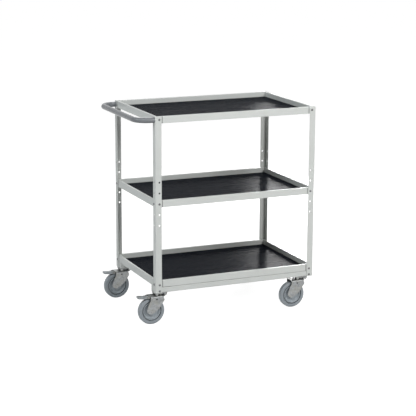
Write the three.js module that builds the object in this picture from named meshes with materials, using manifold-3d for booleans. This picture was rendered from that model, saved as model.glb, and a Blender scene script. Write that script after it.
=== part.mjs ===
// A steel tool cart: three rimmed trays between four angle uprights, on two base
// rails and four swivel castors, with a tubular push handle at one end.
//
// Millimetres, +Z up, standing on Z = 0. The cart is pushed towards +X by the
// handle at its -X end, and the origin lies on the floor at the middle of the
// cart's overall length, handle included.

import * as THREE from 'three';
import { mergeVertices, toCreasedNormals } from 'three/addons/utils/BufferGeometryUtils.js';
import Module from 'manifold-3d';

const wasm = await Module();
wasm.setup();

// ---------------------------------------------------------------- dimensions

// Clearance left between two pieces that touch.
const FIT_GAP = 0.3;

// Over the uprights: length, width and height, and the height of their lower ends.
const CART = { length: 806, width: 532, height: 970, underside: 151 };

const UPRIGHT = {
  leg: 30,
  sheet: 2,
  bendRadius: 3,
  holeDiameter: 9,
  holeInset: 19.3,
  holePitch: 50,
  holesEachWay: 2,
};

// The rail's height takes in the open seam that is left under the tray's rim.
const RAIL = { width: 59, height: 27, seam: 1.5, sheet: 2, bendRadius: 3.5, lip: 14 };

const TRAY = {
  sheet: 1.5,
  rimHeight: 32,
  rimWidth: 12,
  floorDepth: 26.5,
  bendRadius: 2.5,
  screwDrop: 16.5,
};

const RIM_TOPS = {
  bottom: CART.underside + RAIL.height + TRAY.rimHeight,
  middle: 585,
  top: CART.height,
};

const MAT = { thickness: 3, margin: 1, cornerRadius: 4 };

// The handle's reach is from the uprights to its outer edge.
const HANDLE = { tubeDiameter: 25, reach: 91, bendRadius: 62, drop: 16.5, inset: 15 };

// Castor sizes are heights above the floor, or offsets from the swivel axis. The
// wheel trails behind that axis, towards -X.
const WHEEL = { diameter: 125, treadWidth: 26, tyreBore: 92, hubWidth: 32.8, trail: 42.5 };
const AXLE = { height: WHEEL.diameter / 2, diameter: 10, headDiameter: 14, headHeight: 1.8 };
const FORK = {
  sheet: 2.5,
  crownTop: 134.5,
  crownRadius: 28.5,
  crownRear: 53,
  crownBend: 3.5,
  rearCorner: 3,
  innerWidth: 34,
  shoulderHeight: 127.5,
  waistHeight: 100,
  legEnd: { radius: 21, offset: -49, height: 70 },
  lightening: { diameter: 8, offset: -23, height: 121 },
};
const PLATE = { length: 60, width: 58, thickness: 3.5, cornerRadius: 6, boltX: 21, boltY: 21.5 };
const BOLT = {
  diameter: 8,
  headDiameter: 10,
  headHeight: 4,
  nutAcross: 13,
  nutHeight: 8,
  lowerEnd: 136.3,
};
const SWIVEL = { pinDiameter: 12, pinHeadDiameter: 22, pinHeadHeight: 5.5, raceDiameter: 45 };

// The brake pedal turns on two lugs at the back of the fork's crown, and gets
// shallower towards its tip.
const PEDAL = {
  pivotOffset: -59,
  pivotHeight: 130.5,
  pinDiameter: 5,
  width: 30,
  sheet: 2,
  root: { offset: -55.5, top: 138.5, bottom: 124 },
  tip: { offset: -110, top: 135.5, bottom: 127.5 },
  cornerRadius: 6,
};
const BRAKE_SHOE = { rear: -78, front: -65, top: 134.9, height: 14, width: 22, treadGap: 4.6 };

// Swivel axes: distances in from the outer faces of the uprights.
const CASTOR_INSET = { handleEnd: 30.5, farEnd: 53.5, side: 32 };

// Facets per full turn.
const ROUND = { bolt: 6, hole: 8, pin: 12, race: 12, hub: 16, wheel: 28, tube: 12 };

// ----------------------------------------------------------------- materials

const surface = (color, roughness, metalness) =>
  new THREE.MeshStandardMaterial({ color, roughness, metalness });
const paint = (color, roughness = 0.5) => surface(color, roughness, 0.1);
const metal = (color, roughness = 0.35) => surface(color, roughness, 0.9);
const rubber = (color, roughness = 0.75) => surface(color, roughness, 0);

const FINISH = {
  frame: paint(0xd0d0cb),
  handle: paint(0x75777a, 0.45),
  mat: rubber(0x1b1d22, 0.6),
  plated: metal(0xb9b8b2),
  pedal: metal(0x8f979d, 0.45),
  shoe: rubber(0x2a2b2d),
  hub: rubber(0x858e96, 0.55),
  tyre: rubber(0x767d84, 0.8),
};

// ------------------------------------------------------------- solid helpers

const X = new THREE.Vector3(1, 0, 0);
const Y = new THREE.Vector3(0, 1, 0);
const Z = new THREE.Vector3(0, 0, 1);

// Each matrix lays a flat outline in its plane, with the extrusion square to it.
const PLANES = {
  xy: new THREE.Matrix4().makeBasis(X, Y, Z),
  yz: new THREE.Matrix4().makeBasis(Y, Z, X),
  xz: new THREE.Matrix4().makeBasis(X, Z, Y.clone().negate()),
};

/** Six times the volume that the triangles enclose, negative when they face inwards. */
function signedVolume(positions, triangles) {
  const corner = (k) => new THREE.Vector3().fromArray(positions, 3 * triangles[k]);
  let total = 0;
  for (let k = 0; k < triangles.length; k += 3) {
    total += corner(k).dot(corner(k + 1).cross(corner(k + 2)));
  }
  return total;
}

/** Welds a closed geometry and makes a solid of it that can be joined and cut. */
function solid(geometry) {
  const bare = new THREE.BufferGeometry();
  bare.setAttribute('position', geometry.getAttribute('position'));
  bare.setIndex(geometry.getIndex());
  const welded = mergeVertices(bare, 1e-3);
  const positions = welded.getAttribute('position').array;
  const index = welded.getIndex().array;
  const triangles = [];
  for (let k = 0; k < index.length; k += 3) {
    const [a, b, c] = index.slice(k, k + 3);
    if (a !== b && b !== c && c !== a) triangles.push(a, b, c);
  }
  if (signedVolume(positions, triangles) < 0) triangles.reverse();
  return new wasm.Manifold(new wasm.Mesh({
    numProp: 3,
    vertProperties: new Float32Array(positions),
    triVerts: new Uint32Array(triangles),
  }));
}

const join = (...solids) => solids.reduce((whole, next) => whole.add(next));
const cut = (body, ...tools) => tools.reduce((rest, tool) => rest.subtract(tool), body);
const common = (...solids) => solids.reduce((whole, next) => whole.intersect(next));

/** A box between two opposite corners. */
function box(low, high) {
  const [sx, sy, sz] = high.map((value, k) => value - low[k]);
  const geometry = new THREE.BoxGeometry(sx, sy, sz);
  geometry.translate(low[0] + sx / 2, low[1] + sy / 2, low[2] + sz / 2);
  return solid(geometry);
}

/** A prism of an outline, from one distance to another along the plane's normal. */
function prism(outline, plane, from, to, curveSegments = 4) {
  const depth = to - from;
  const geometry = new THREE.ExtrudeGeometry(outline, { depth, bevelEnabled: false, curveSegments });
  geometry.translate(0, 0, from);
  geometry.applyMatrix4(PLANES[plane]);
  return solid(geometry);
}

/** A round bar along an axis, centred on a point. */
function bar(diameter, length, axis, centre, facets = ROUND.hole) {
  const geometry = new THREE.CylinderGeometry(diameter / 2, diameter / 2, length, facets);
  geometry.applyQuaternion(new THREE.Quaternion().setFromUnitVectors(Y, axis));
  geometry.translate(...centre);
  return solid(geometry);
}

/**
 * A body of revolution. The profile lists [radius, distance along the axis] pairs,
 * and facets lie flat towards -X, +X, -Z and +Z.
 */
function turned(profile, axis, facets) {
  const points = profile.map(([radius, along]) => new THREE.Vector2(radius, along));
  points.push(points[0].clone());
  const geometry = new THREE.LatheGeometry(points, facets, Math.PI / facets);
  if (axis === Z) geometry.rotateX(Math.PI / 2);
  return solid(geometry);
}

/** A rectangle with round corners, centred on the origin. */
function roundedRectangle(width, height, radius) {
  const [x, y] = [width / 2 - radius, height / 2 - radius];
  const shape = new THREE.Shape();
  shape.absarc(x, y, radius, 0, Math.PI / 2);
  shape.absarc(-x, y, radius, Math.PI / 2, Math.PI);
  shape.absarc(-x, -y, radius, Math.PI, 1.5 * Math.PI);
  shape.absarc(x, -y, radius, 1.5 * Math.PI, 2 * Math.PI);
  return shape;
}

/**
 * Carries a section round a rectangle, with mitred corners. The section is drawn
 * anticlockwise, as [distance outwards from the rectangle, height] pairs.
 */
function mitredRing(section, halfLength, halfWidth) {
  const corners = [[1, -1], [1, 1], [-1, 1], [-1, -1]];
  const positions = corners.flatMap(([sx, sy]) =>
    section.flatMap(([out, height]) => [sx * (halfLength + out), sy * (halfWidth + out), height]));
  const count = section.length;
  const index = [];
  for (let side = 0; side < corners.length; side += 1) {
    const here = side * count;
    const next = ((side + 1) % corners.length) * count;
    for (let k = 0; k < count; k += 1) {
      const after = (k + 1) % count;
      index.push(here + k, next + k, next + after, here + k, next + after, here + after);
    }
  }
  const geometry = new THREE.BufferGeometry();
  geometry.setAttribute('position', new THREE.Float32BufferAttribute(positions, 3));
  geometry.setIndex(index);
  return solid(geometry);
}

/** Points of a quarter-round bend, from one angle to another. */
function bend(centreX, centreY, radius, fromAngle, toAngle, steps = 3) {
  return Array.from({ length: steps + 1 }, (_, k) => {
    const angle = fromAngle + ((toAngle - fromAngle) * k) / steps;
    return [centreX + radius * Math.cos(angle), centreY + radius * Math.sin(angle)];
  });
}

/** Turns a finished solid into a named mesh. */
function piece(name, body, material) {
  const { numProp, vertProperties, triVerts } = body.getMesh();
  const geometry = new THREE.BufferGeometry();
  const positions = new THREE.InterleavedBuffer(vertProperties, numProp);
  geometry.setAttribute('position', new THREE.InterleavedBufferAttribute(positions, 3, 0));
  geometry.setIndex(new THREE.Uint32BufferAttribute(triVerts, 1));
  const mesh = new THREE.Mesh(toCreasedNormals(geometry, Math.PI / 5), material);
  mesh.name = name;
  return mesh;
}

// --------------------------------------------------------------------- frame

/** A folded angle upright, its outer corner on the Z axis and its legs along +X and +Y. */
function uprightSolid() {
  const { leg, sheet, bendRadius, holeDiameter, holeInset, holePitch, holesEachWay } = UPRIGHT;
  const outline = new THREE.Shape();
  outline.moveTo(leg, 0);
  outline.lineTo(leg, sheet);
  outline.lineTo(sheet, sheet);
  outline.lineTo(sheet, leg);
  outline.lineTo(0, leg);
  outline.absarc(bendRadius, bendRadius, bendRadius, Math.PI, 1.5 * Math.PI);
  const holes = [];
  for (let step = -holesEachWay; step <= holesEachWay; step += 1) {
    const height = RIM_TOPS.middle - TRAY.screwDrop + step * holePitch;
    if (step === 0) continue;
    holes.push(bar(holeDiameter, 4 * sheet, Y, [holeInset, sheet / 2, height]));
    holes.push(bar(holeDiameter, 4 * sheet, X, [sheet / 2, holeInset, height]));
  }
  return cut(prism(outline, 'xy', CART.underside, CART.height, 2), ...holes);
}

/** The four uprights, each a quarter turn on from the last. */
function uprights() {
  const corners = [
    ['front_handle_end', -1, -1],
    ['front_far_end', 1, -1],
    ['rear_far_end', 1, 1],
    ['rear_handle_end', -1, 1],
  ];
  const body = uprightSolid();
  return corners.map(([place, sideX, sideY], turn) => {
    const mesh = piece(`upright_${place}`, body, FINISH.frame);
    mesh.position.set((sideX * CART.length) / 2, (sideY * CART.width) / 2, 0);
    mesh.rotation.z = (turn * Math.PI) / 2;
    return mesh;
  });
}

// Half sizes of the trays over their rims.
const TRAY_HALF = {
  length: CART.length / 2 - UPRIGHT.sheet - FIT_GAP,
  width: CART.width / 2 - UPRIGHT.sheet - FIT_GAP,
};

/**
 * A tray folded from one sheet: floor, inner wall, top of the rim and outer wall,
 * with welded mitres at the corners. Its rim top lies at Z = 0.
 */
function traySolid() {
  const { sheet, rimHeight, rimWidth, floorDepth, bendRadius } = TRAY;
  const innerBend = bendRadius - sheet;
  const floorLap = 6;
  const section = [
    [0, -rimHeight],
    ...bend(-bendRadius, -bendRadius, bendRadius, 0, Math.PI / 2),
    ...bend(bendRadius - rimWidth, -bendRadius, bendRadius, Math.PI / 2, Math.PI),
    [-rimWidth, -floorDepth],
    [-rimWidth - floorLap, -floorDepth],
    [-rimWidth - floorLap, -floorDepth - sheet],
    ...bend(sheet - rimWidth - bendRadius, bendRadius - floorDepth - sheet, bendRadius, -Math.PI / 2, 0),
    ...bend(bendRadius - rimWidth, -bendRadius, innerBend, Math.PI, Math.PI / 2, 1),
    ...bend(-bendRadius, -bendRadius, innerBend, Math.PI / 2, 0, 1),
    [-sheet, -rimHeight],
  ];
  const rim = mitredRing(section, TRAY_HALF.length, TRAY_HALF.width);
  const reach = rimWidth + floorLap / 2;
  const floor = box(
    [reach - TRAY_HALF.length, reach - TRAY_HALF.width, -floorDepth - sheet],
    [TRAY_HALF.length - reach, TRAY_HALF.width - reach, -floorDepth],
  );
  return join(rim, floor);
}

/** A rubber mat that fills a tray's floor. */
function matSolid() {
  const { thickness, margin, cornerRadius } = MAT;
  const edge = TRAY.rimWidth + margin;
  const outline = roundedRectangle(2 * (TRAY_HALF.length - edge), 2 * (TRAY_HALF.width - edge), cornerRadius);
  const bottom = FIT_GAP - TRAY.floorDepth;
  return prism(outline, 'xy', bottom, bottom + thickness, 2);
}

/** The three trays and their mats. */
function shelves() {
  const tray = traySolid();
  const mat = matSolid();
  return Object.entries(RIM_TOPS).flatMap(([level, height]) => {
    const meshes = [
      piece(`tray_${level}`, tray, FINISH.frame),
      piece(`mat_${level}`, mat, FINISH.mat),
    ];
    meshes.forEach((mesh) => mesh.position.setZ(height));
    return meshes;
  });
}

// Swivel axes, measured from the middle of the trays.
const CASTOR_X = {
  handleEnd: CASTOR_INSET.handleEnd - CART.length / 2,
  farEnd: CART.length / 2 - CASTOR_INSET.farEnd,
};
const CASTOR_Y = CART.width / 2 - CASTOR_INSET.side;

/** Runs an action for each of a castor plate's four bolt positions. */
function atPlateBolts(action) {
  return [-1, 1].flatMap((sx) => [-1, 1].map((sy) => action(sx * PLATE.boltX, sy * PLATE.boltY)));
}

/** A base rail: a lipped channel under the tray, its slot upwards and its ends folded shut. */
function railSolid() {
  const { width, height, seam, sheet, bendRadius, lip } = RAIL;
  const bottom = CART.underside;
  const top = bottom + height - seam;
  const middle = (bottom + top) / 2;
  const halfLength = TRAY_HALF.length;
  const tube = (inset) => {
    const across = roundedRectangle(width - 2 * inset, top - bottom - 2 * inset, bendRadius - inset);
    const length = halfLength - inset;
    return prism(across, 'yz', -length, length, 2).translate([0, 0, middle]);
  };
  const reach = halfLength - sheet;
  const slot = box([-reach, lip - width / 2, middle], [reach, width / 2 - lip, top + 1]);
  const bolts = Object.values(CASTOR_X).flatMap((castorX) =>
    atPlateBolts((x, y) => bar(BOLT.diameter + 1, 4 * sheet, Z, [castorX + x, y, bottom], ROUND.bolt)));
  return cut(tube(0), tube(sheet), slot, ...bolts);
}

/** The two base rails, centred over the castors' swivel axes. */
function rails() {
  const body = railSolid();
  return [['front', -1], ['rear', 1]].map(([side, sign]) => {
    const mesh = piece(`base_rail_${side}`, body, FINISH.frame);
    mesh.position.y = sign * CASTOR_Y;
    return mesh;
  });
}

/** A level quarter bend about a centre, between two angles. */
class BendCurve extends THREE.Curve {
  constructor(centre, radius, fromAngle, toAngle) {
    super();
    Object.assign(this, { centre, radius, fromAngle, toAngle });
  }

  getPoint(t, target = new THREE.Vector3()) {
    const angle = this.fromAngle + (this.toAngle - this.fromAngle) * t;
    return target.set(Math.cos(angle), Math.sin(angle), 0).multiplyScalar(this.radius).add(this.centre);
  }
}

/** The push handle: one tube, out from an upright, across the cart's end and back. */
function handle() {
  const { tubeDiameter, reach, bendRadius, drop, inset } = HANDLE;
  const root = -CART.length / 2 - FIT_GAP;
  const across = -CART.length / 2 - reach + tubeDiameter / 2;
  const side = CART.width / 2 - inset;
  const at = (x, y) => new THREE.Vector3(x, y, CART.height - drop);
  const centre = (sign) => at(across + bendRadius, sign * (side - bendRadius));
  const route = new THREE.CurvePath();
  route.add(new THREE.LineCurve3(at(root, -side), at(across + bendRadius, -side)));
  route.add(new BendCurve(centre(-1), bendRadius, -Math.PI / 2, -Math.PI));
  route.add(new THREE.LineCurve3(at(across, bendRadius - side), at(across, side - bendRadius)));
  route.add(new BendCurve(centre(1), bendRadius, Math.PI, Math.PI / 2));
  route.add(new THREE.LineCurve3(at(across + bendRadius, side), at(root, side)));
  const section = new THREE.Shape();
  section.absarc(0, 0, tubeDiameter / 2, 0, 2 * Math.PI);
  const geometry = new THREE.ExtrudeGeometry(section, {
    steps: 30,
    extrudePath: route,
    curveSegments: ROUND.tube / 2,
  });
  return piece('push_handle', solid(geometry), FINISH.handle);
}

// ------------------------------------------------------------------- castors

/** The fixed top of a castor: plate, upper swivel race, and the four bolts with their nuts. */
function topPlateSolid() {
  const top = CART.underside - FIT_GAP;
  const bottom = top - PLATE.thickness;
  const outline = roundedRectangle(PLATE.length, PLATE.width, PLATE.cornerRadius);
  const plate = prism(outline, 'xy', bottom, top, 1);
  const race = turned([
    [SWIVEL.pinDiameter / 2 + 3, bottom + 1],
    [SWIVEL.raceDiameter / 2 - 1, bottom + 1],
    [SWIVEL.raceDiameter / 2 - 1, bottom - 5.5],
    [SWIVEL.raceDiameter / 2 - 4, bottom - 7.5],
    [SWIVEL.pinDiameter / 2 + 3, bottom - 7.5],
  ], Z, ROUND.race);
  const headBottom = CART.underside + RAIL.sheet + FIT_GAP;
  const headTop = headBottom + BOLT.headHeight;
  const nutDiameter = BOLT.nutAcross / Math.cos(Math.PI / 6);
  const bolts = atPlateBolts((x, y) => join(
    bar(BOLT.diameter, headTop - BOLT.lowerEnd, Z, [x, y, (headTop + BOLT.lowerEnd) / 2], ROUND.bolt),
    bar(BOLT.headDiameter, BOLT.headHeight, Z, [x, y, headBottom + BOLT.headHeight / 2], ROUND.bolt),
    bar(nutDiameter, BOLT.nutHeight + 1, Z, [x, y, bottom + 0.5 - BOLT.nutHeight / 2], ROUND.bolt),
  ));
  const pinHole = bar(SWIVEL.pinDiameter + 2 * FIT_GAP, 40, Z, [0, 0, bottom], ROUND.pin);
  return cut(join(plate, race, ...bolts), pinHole);
}

/** The king pin, headed under the fork's crown. */
function kingPinSolid() {
  const seat = FORK.crownTop - FORK.sheet - FIT_GAP;
  return turned([
    [0, seat - SWIVEL.pinHeadHeight],
    [SWIVEL.pinHeadDiameter / 2 - 3, seat - SWIVEL.pinHeadHeight],
    [SWIVEL.pinHeadDiameter / 2, seat - SWIVEL.pinHeadHeight + 2.5],
    [SWIVEL.pinHeadDiameter / 2, seat],
    [SWIVEL.pinDiameter / 2, seat],
    [SWIVEL.pinDiameter / 2, CART.underside - 2 * FIT_GAP],
    [0, CART.underside - 2 * FIT_GAP],
  ], Z, ROUND.hole);
}

/** The lower swivel race, a dished ring seated on the crown. */
function lowerRaceSolid() {
  const seat = FORK.crownTop + FIT_GAP;
  const rim = CART.underside - FIT_GAP - PLATE.thickness - 8.3;
  return turned([
    [SWIVEL.pinDiameter / 2 + 2, seat],
    [SWIVEL.raceDiameter / 2, seat],
    [SWIVEL.raceDiameter / 2, seat + 2],
    [SWIVEL.raceDiameter / 2 - 4, rim],
    [SWIVEL.pinDiameter / 2 + 2, rim],
  ], Z, ROUND.race);
}

/** The fork seen along the axle: a crown that flares out, over two close cheeks. */
function forkSection() {
  const { sheet, crownTop, crownRadius, crownBend, shoulderHeight, innerWidth, waistHeight } = FORK;
  const foot = FORK.legEnd.height - 2 * FORK.legEnd.radius;
  const flare = 9;
  const shape = new THREE.Shape();
  // Outer face, from the left foot over the crown to the right foot.
  const cheek = innerWidth / 2 + sheet;
  const outer = [waistHeight + flare, shoulderHeight - flare];
  shape.moveTo(-cheek, foot);
  shape.lineTo(-cheek, waistHeight);
  shape.bezierCurveTo(-cheek, outer[0], -crownRadius, outer[1], -crownRadius, shoulderHeight);
  shape.absarc(crownBend - crownRadius, crownTop - crownBend, crownBend, Math.PI, Math.PI / 2, true);
  shape.absarc(crownRadius - crownBend, crownTop - crownBend, crownBend, Math.PI / 2, 0, true);
  shape.lineTo(crownRadius, shoulderHeight);
  shape.bezierCurveTo(crownRadius, outer[1], cheek, outer[0], cheek, waistHeight);
  shape.lineTo(cheek, foot);
  // Inner face, back again one sheet thickness inside.
  const inside = crownRadius - sheet;
  const innerBend = crownBend - sheet;
  const inner = [outer[0] + 1, outer[1] + 1];
  shape.lineTo(cheek - sheet, foot);
  shape.lineTo(cheek - sheet, waistHeight);
  shape.bezierCurveTo(cheek - sheet, inner[0], inside, inner[1], inside, shoulderHeight);
  shape.lineTo(inside, crownTop - crownBend);
  shape.lineTo(inside - innerBend, crownTop - sheet);
  shape.lineTo(innerBend - inside, crownTop - sheet);
  shape.lineTo(-inside, crownTop - crownBend);
  shape.lineTo(-inside, shoulderHeight);
  shape.bezierCurveTo(-inside, inner[1], sheet - cheek, inner[0], sheet - cheek, waistHeight);
  shape.lineTo(sheet - cheek, foot);
  return shape;
}

/** The fork seen from the side: a deep crown and a leg swept back to the axle. */
function forkProfile() {
  const { crownTop, crownRadius, crownRear, legEnd } = FORK;
  const at = (x, z) => new THREE.Vector2(x, z);
  const shape = new THREE.Shape();
  shape.moveTo(-crownRear, crownTop + 1);
  shape.lineTo(-crownRear, 113);
  const heel = at(legEnd.offset - legEnd.radius, legEnd.height);
  shape.splineThru([at(-crownRear - 4, 103), at(-crownRear - 10, 88), heel]);
  shape.absarc(legEnd.offset, legEnd.height, legEnd.radius, Math.PI, 1.75 * Math.PI);
  shape.splineThru([at(-19, 65), at(-2, 82), at(11, 103), at(18, 118), at(crownRadius, 129)]);
  shape.lineTo(crownRadius + 1, crownTop + 1);
  return shape;
}

/** The fork seen from above: round in front of the swivel, straight behind it. */
function forkPlan() {
  const { crownRadius, crownRear, rearCorner } = FORK;
  const reach = FORK.legEnd.radius - FORK.legEnd.offset + 1;
  const shape = new THREE.Shape();
  shape.absarc(0, 0, crownRadius + 0.01, -Math.PI / 2, Math.PI / 2);
  shape.absarc(rearCorner - crownRear, crownRadius - rearCorner, rearCorner, Math.PI / 2, Math.PI);
  shape.lineTo(-crownRear, FORK.innerWidth / 2 + FORK.sheet);
  shape.lineTo(-reach, FORK.innerWidth / 2 + FORK.sheet);
  shape.lineTo(-reach, -FORK.innerWidth / 2 - FORK.sheet);
  shape.lineTo(-crownRear, -FORK.innerWidth / 2 - FORK.sheet);
  shape.absarc(rearCorner - crownRear, rearCorner - crownRadius, rearCorner, Math.PI, 1.5 * Math.PI);
  return shape;
}

/** One of the two lugs that carry the brake pedal's pivot, behind the crown. */
function pedalLug(sign) {
  const { pivotOffset, pivotHeight, pinDiameter, width } = PEDAL;
  const lugRadius = 6;
  const inner = width / 2 + FIT_GAP;
  const shape = new THREE.Shape();
  shape.absarc(pivotOffset, pivotHeight, lugRadius, Math.PI / 2, 1.5 * Math.PI);
  shape.lineTo(-FORK.crownRear + 5, pivotHeight - lugRadius);
  shape.lineTo(-FORK.crownRear + 5, FORK.crownTop);
  shape.lineTo(-FORK.crownRear, FORK.crownTop);
  const faces = [sign * inner, sign * (inner + FORK.sheet)].sort((a, b) => a - b);
  const lug = prism(shape, 'xz', -faces[1], -faces[0], 4);
  const hole = bar(pinDiameter + 2 * FIT_GAP, width * 2, Y, [pivotOffset, 0, pivotHeight]);
  return cut(lug, hole);
}

/** The pressed fork, with lugs for a pedal where the castor has a brake. */
function forkSolid(braked) {
  const { sheet, crownTop, crownRadius, lightening } = FORK;
  const span = crownRadius + 1;
  const length = FORK.legEnd.radius - FORK.legEnd.offset + 1;
  const shell = common(
    prism(forkSection(), 'yz', -length, span, 3),
    prism(forkProfile(), 'xz', -span, span, 2),
    prism(forkPlan(), 'xy', 0, crownTop + 1, 4),
  );
  const pinHole = bar(SWIVEL.pinDiameter + 1, 6 * sheet, Z, [0, 0, crownTop], ROUND.pin);
  const axleHole = bar(AXLE.diameter + 2 * FIT_GAP, 2 * span, Y, [-WHEEL.trail, 0, AXLE.height], ROUND.pin);
  const sideHole = bar(lightening.diameter, 2 * span, Y, [lightening.offset, 0, lightening.height]);
  const fork = cut(shell, pinHole, axleHole, sideHole);
  return braked ? join(fork, pedalLug(-1), pedalLug(1)) : fork;
}

/** The axle, headed at both ends over the fork's cheeks. */
function axleSolid() {
  const cheek = FORK.innerWidth / 2 + FORK.sheet + FIT_GAP;
  const half = [
    [AXLE.diameter / 2, cheek],
    [AXLE.headDiameter / 2, cheek],
    [AXLE.headDiameter / 2 - 1.5, cheek + AXLE.headHeight],
    [0, cheek + AXLE.headHeight],
  ];
  const mirrored = half.map(([radius, along]) => [radius, -along]).reverse();
  return turned([...mirrored, ...half], Y, ROUND.pin);
}

/** The tube that spaces the fork's cheeks and carries the hub. */
function spacerSolid() {
  const half = FORK.innerWidth / 2 - FIT_GAP;
  const [bore, outside] = [AXLE.diameter / 2 + FIT_GAP, AXLE.diameter / 2 + 3];
  return turned([[bore, -half], [outside, -half], [outside, half], [bore, half]], Y, ROUND.pin);
}

/** The wheel's centre: a boss, and a web that dishes in from the rim on both faces. */
function hubSolid() {
  const bore = AXLE.diameter / 2 + 3 + FIT_GAP;
  const rim = WHEEL.tyreBore / 2 - FIT_GAP;
  const half = [
    [bore, WHEEL.hubWidth / 2],
    [18, WHEEL.hubWidth / 2],
    [24, 5.5],
    [42, 10],
    [rim - 2, 12.5],
    [rim, 12.5],
  ];
  const mirrored = half.map(([radius, along]) => [radius, -along]).reverse();
  return turned([...half, ...mirrored], Y, ROUND.hub);
}

/** The tyre: a solid rubber ring with rounded shoulders. */
function tyreSolid() {
  const [outside, bore] = [WHEEL.diameter / 2, WHEEL.tyreBore / 2];
  const side = WHEEL.treadWidth / 2;
  const half = [
    [bore, side],
    [outside - 4.5, side],
    [outside - 1.2, side - 1.5],
    [outside, side - 4.5],
  ];
  // The flats, not the corners between them, are at the wheel's true radius.
  const scale = 1 / Math.cos(Math.PI / ROUND.wheel);
  const profile = [...half, ...half.map(([radius, along]) => [radius, -along]).reverse()]
    .map(([radius, along]) => [radius > bore ? radius * scale : radius, along]);
  return turned(profile, Y, ROUND.wheel);
}

/** The pedal seen from the side, tapering to its tip and lowered by a sheet for its hollow. */
function pedalProfile(lowering, rootEnd) {
  const { root, tip } = PEDAL;
  const shape = new THREE.Shape();
  shape.moveTo(rootEnd, root.top - lowering);
  shape.lineTo(tip.offset, tip.top - lowering);
  shape.lineTo(tip.offset, tip.bottom - lowering);
  shape.lineTo((tip.offset + root.offset) / 2, root.bottom - lowering);
  shape.lineTo(rootEnd, root.bottom - lowering);
  return shape;
}

/** The pedal seen from above, with round corners at its tip. */
function pedalPlan(inset, rootEnd) {
  const { width, tip, cornerRadius } = PEDAL;
  const half = width / 2 - inset;
  const radius = cornerRadius - inset;
  const end = tip.offset + cornerRadius;
  const shape = new THREE.Shape();
  shape.moveTo(rootEnd, half);
  shape.absarc(end, half - radius, radius, Math.PI / 2, Math.PI);
  shape.absarc(end, radius - half, radius, Math.PI, 1.5 * Math.PI);
  shape.lineTo(rootEnd, -half);
  return shape;
}

/** The brake pedal: a pressed channel, open underneath and at its pivot end. */
function pedalSolid() {
  const { pivotOffset, pivotHeight, pinDiameter, width, sheet, root } = PEDAL;
  const shell = (inset, rootEnd) => common(
    prism(pedalPlan(inset, rootEnd), 'xy', 0, root.top + 1, 3),
    prism(pedalProfile(inset, rootEnd), 'xz', -width, width),
  );
  const hole = bar(pinDiameter + 2 * FIT_GAP, 2 * width, Y, [pivotOffset, 0, pivotHeight]);
  return cut(shell(0, root.offset), shell(sheet, root.offset + 1), hole);
}

/** The pedal's pivot pin, headed outside both lugs. */
function pedalPinSolid() {
  const seat = PEDAL.width / 2 + FORK.sheet + 2 * FIT_GAP;
  const half = [
    [PEDAL.pinDiameter / 2, seat],
    [PEDAL.pinDiameter / 2 + 2, seat],
    [PEDAL.pinDiameter / 2 + 2, seat + 1.5],
    [0, seat + 1.5],
  ];
  const mirrored = half.map(([radius, along]) => [radius, -along]).reverse();
  return turned([...mirrored, ...half], Y, ROUND.hole);
}

/** The brake shoe: a block under the pedal, hollowed to the tyre's curve. */
function brakeShoeSolid() {
  const { rear, front, top, height, width, treadGap } = BRAKE_SHOE;
  const block = box([rear, -width / 2, top - height], [front, width / 2, top]);
  const hollow = WHEEL.diameter + 2 * treadGap;
  const tread = bar(hollow, 2 * width, Y, [-WHEEL.trail, 0, AXLE.height], 2 * ROUND.wheel);
  return cut(block, tread);
}

/** A castor with its swivel axis over the origin, its wheel trailing towards -X. */
function castor(place, braked) {
  const group = new THREE.Group();
  const add = (part, body, material) => {
    const mesh = piece(`${part}_${place}`, body, material);
    group.add(mesh);
    return mesh;
  };
  add('top_plate', topPlateSolid(), FINISH.plated);
  add('king_pin', kingPinSolid(), FINISH.plated);
  add('lower_race', lowerRaceSolid(), FINISH.plated);
  add('fork', forkSolid(braked), FINISH.plated);
  const rolling = [
    add('axle', axleSolid(), FINISH.plated),
    add('axle_spacer', spacerSolid(), FINISH.plated),
    add('wheel_hub', hubSolid(), FINISH.hub),
    add('tyre', tyreSolid(), FINISH.tyre),
  ];
  rolling.forEach((mesh) => mesh.position.set(-WHEEL.trail, 0, AXLE.height));
  if (braked) {
    add('brake_pedal', pedalSolid(), FINISH.pedal);
    add('pedal_pin', pedalPinSolid(), FINISH.plated)
      .position.set(PEDAL.pivotOffset, 0, PEDAL.pivotHeight);
    add('brake_shoe', brakeShoeSolid(), FINISH.shoe);
  }
  return group;
}

/** The four castors, with brakes at the handle end. */
function castors() {
  const ends = [['handle_end', CASTOR_X.handleEnd, true], ['far_end', CASTOR_X.farEnd, false]];
  const sides = [['front', -1], ['rear', 1]];
  return ends.flatMap(([end, x, braked]) => sides.map(([side, sign]) => {
    const group = castor(`${side}_${end}`, braked);
    group.position.set(x, sign * CASTOR_Y, 0);
    return group;
  }));
}

// ------------------------------------------------------------------ assembly

const cart = new THREE.Group();
cart.add(...uprights(), ...shelves(), ...rails(), handle(), ...castors());
cart.children.forEach((child) => { child.position.x += HANDLE.reach / 2; });

export default cart;
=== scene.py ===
"""The looks of a steel tool cart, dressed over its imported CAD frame.

Metres, +Z up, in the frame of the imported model: the cart stands on Z = 0 with its push
handle towards -X, and the origin lies on the floor under the middle of its length.
"""

import logging
import math
from dataclasses import dataclass, field
from enum import Enum

import bmesh
import bpy
from mathutils import Matrix, Vector

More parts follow.
